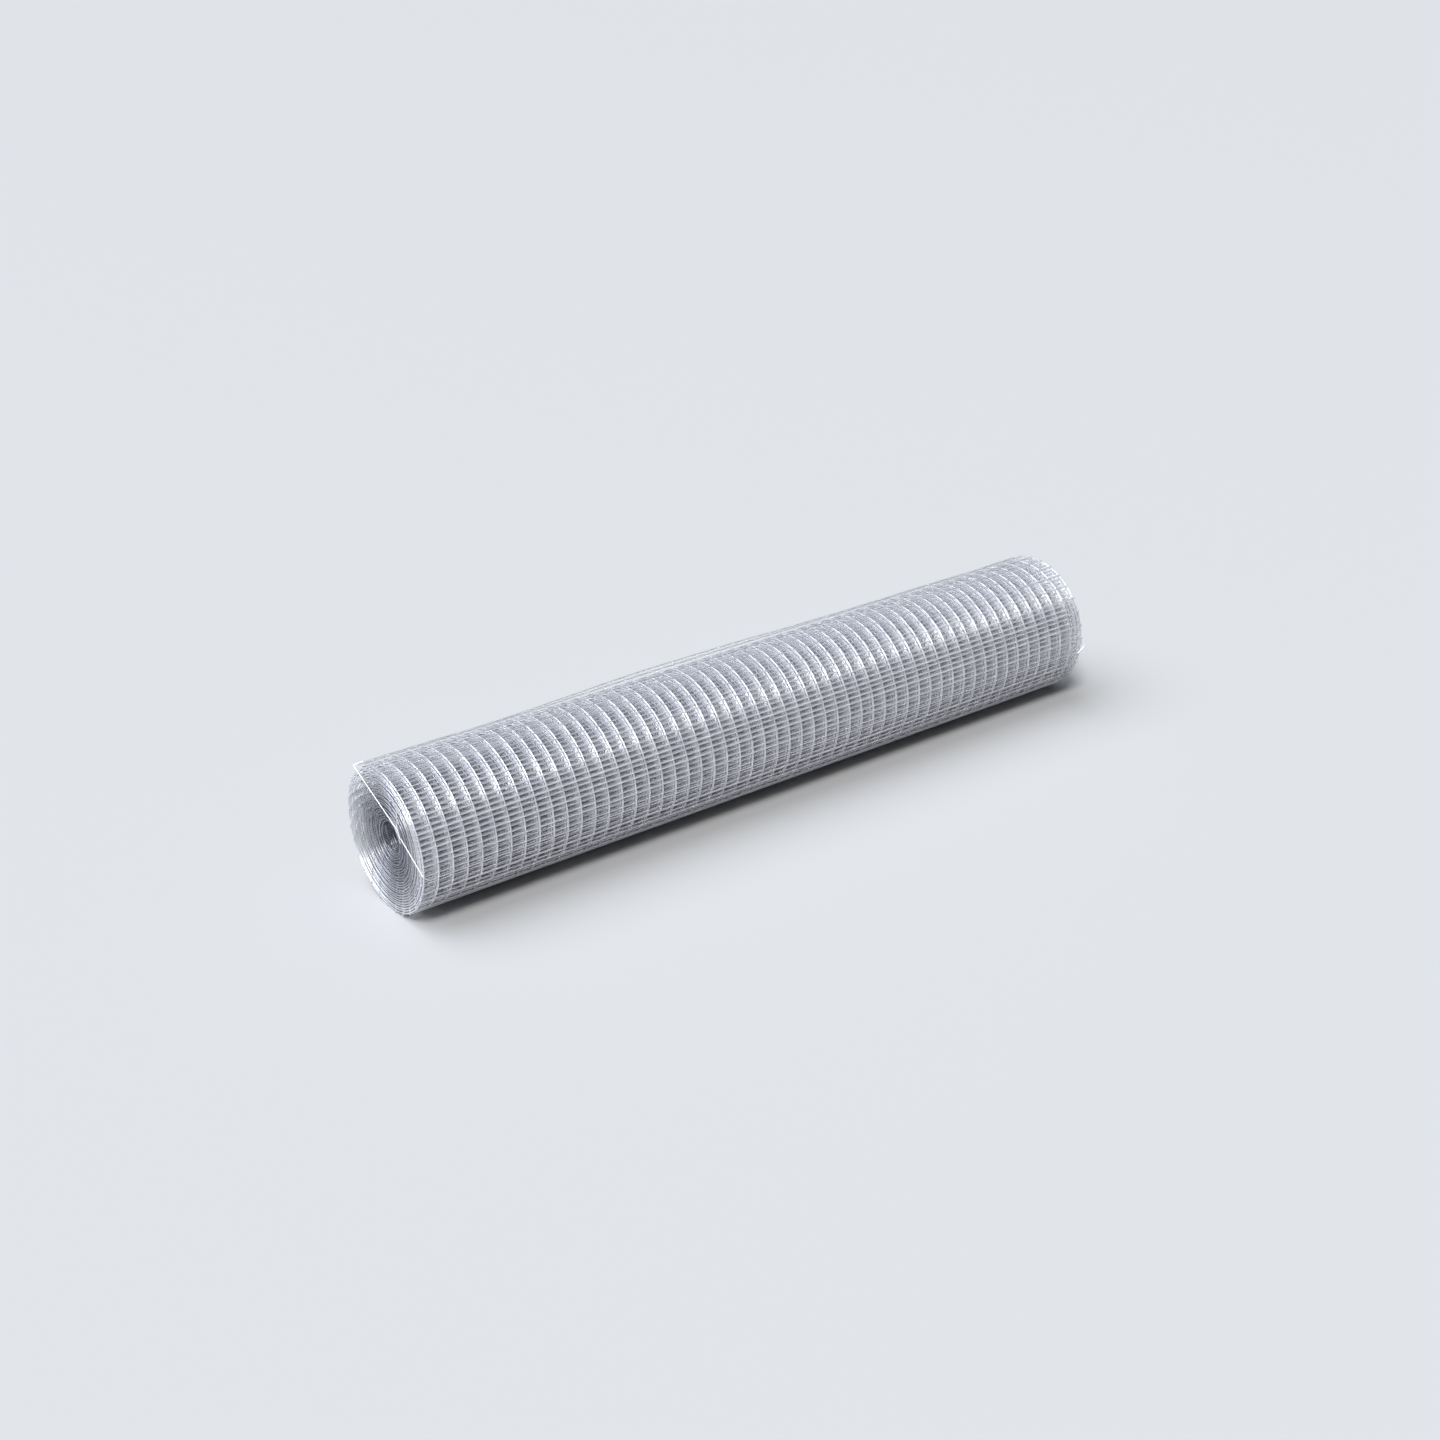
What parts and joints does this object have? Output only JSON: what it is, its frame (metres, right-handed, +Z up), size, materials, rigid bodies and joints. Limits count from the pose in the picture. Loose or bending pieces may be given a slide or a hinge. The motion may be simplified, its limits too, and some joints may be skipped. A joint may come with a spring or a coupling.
{
  "type": "roll of wire fencing",
  "caption": "Roll of galvanised welded square wire mesh with an open bore, lying on its side, held closed by twisted tie wires across its ends.",
  "frame": {"origin": "bottom centre of the box round the roll as it lies, on the floor", "axes": "+X along the roll's axis, +Z up"},
  "size_m": [1.0217, 0.1822, 0.1811],
  "materials": {
    "galvanised_mesh": "galvanised, bright",
    "tie_wire": "galvanised, bright"
  },
  "bodies": {
    "root": {"mesh_roll": "galvanised_mesh", "tie_near_upper": "tie_wire", "tie_near_lower": "tie_wire", "tie_far_upper": "tie_wire", "tie_far_lower": "tie_wire"}
  },
  "joints": []
}
